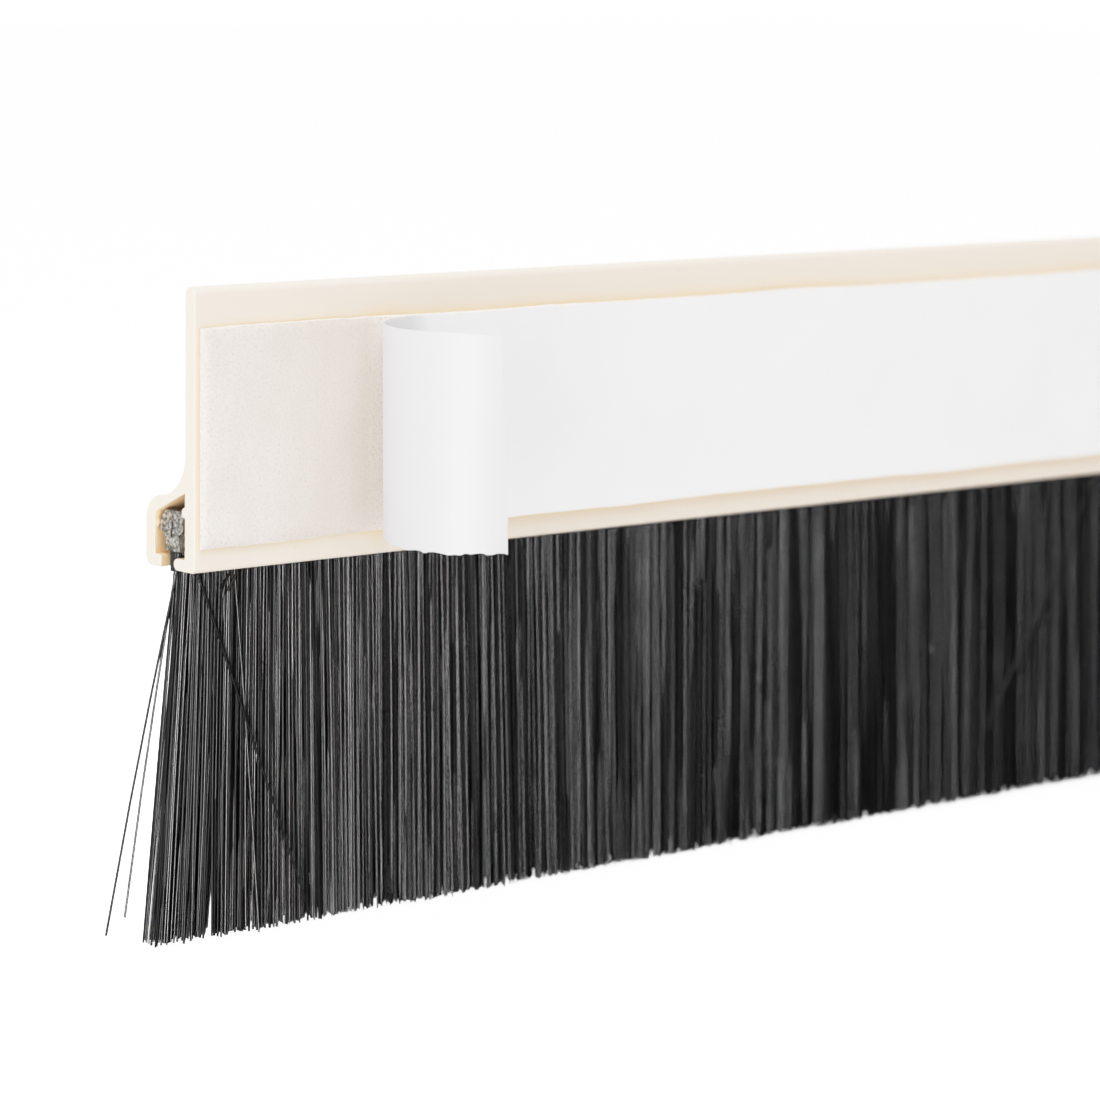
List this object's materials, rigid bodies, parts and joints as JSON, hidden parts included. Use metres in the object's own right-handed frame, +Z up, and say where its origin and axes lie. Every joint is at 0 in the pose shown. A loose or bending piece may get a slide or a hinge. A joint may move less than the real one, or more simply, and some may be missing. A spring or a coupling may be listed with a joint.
{
  "type": "brush door sweep",
  "caption": "Stick-on brush door sweep: flat plastic carrier with foam mounting tape and a part-peeled liner, and a hook gripping a strip brush of dark bristles.",
  "frame": {"origin": "on the plane where the tape meets the door, at the middle of the bare tape at the -X end of the strip", "axes": "+X along the strip, -Y out of the tape towards the door, +Z up, away from the floor"},
  "size_m": [0.762, 0.0255, 0.0606],
  "materials": {
    "carrier": "semi-gloss extruded plastic, cream",
    "adhesive": "tacky, fine-pored coat",
    "foam": "open-celled white foam",
    "liner": "smooth silicone-coated white liner",
    "channel": "galvanised sheet, mottled, sheared at the ends",
    "wire": "drawn wire",
    "bristles": "black nylon filaments with a satin sheen"
  },
  "bodies": {
    "carrier": {"carrier_profile": "carrier", "tape_adhesive_back": "adhesive", "tape_foam_core": "foam", "tape_adhesive_front": "adhesive"},
    "brush": {"brush_channel": "channel", "core_wire": "wire", "bristle_pack": "bristles"},
    "bristles": {"bristle_curtain": "bristles"},
    "liner": {"release_liner": "liner"},
    "flap": {"liner_flap": "liner"}
  },
  "joints": [
    {"name": "brush_slide", "type": "slide", "parent": "carrier", "child": "brush", "axis": [1, 0, 0], "range_m": [0, 0.762]},
    {"name": "bristle_flex", "type": "hinge", "parent": "brush", "child": "bristles", "pos_m": [0, 0.00487, -0.0135], "axis": [1, 0, 0], "range_deg": [-40, 40], "stiffness_Nm_per_rad": 0.15},
    {"name": "liner_lift", "type": "slide", "parent": "carrier", "child": "liner", "axis": [0, -1, 0], "range_m": [0, 0.03]},
    {"name": "liner_bend", "type": "hinge", "parent": "liner", "child": "flap", "pos_m": [0.0168, -0.00005, 0], "axis": [0, 0, 1], "range_deg": [0, 60], "stiffness_Nm_per_rad": 0.001}
  ]
}
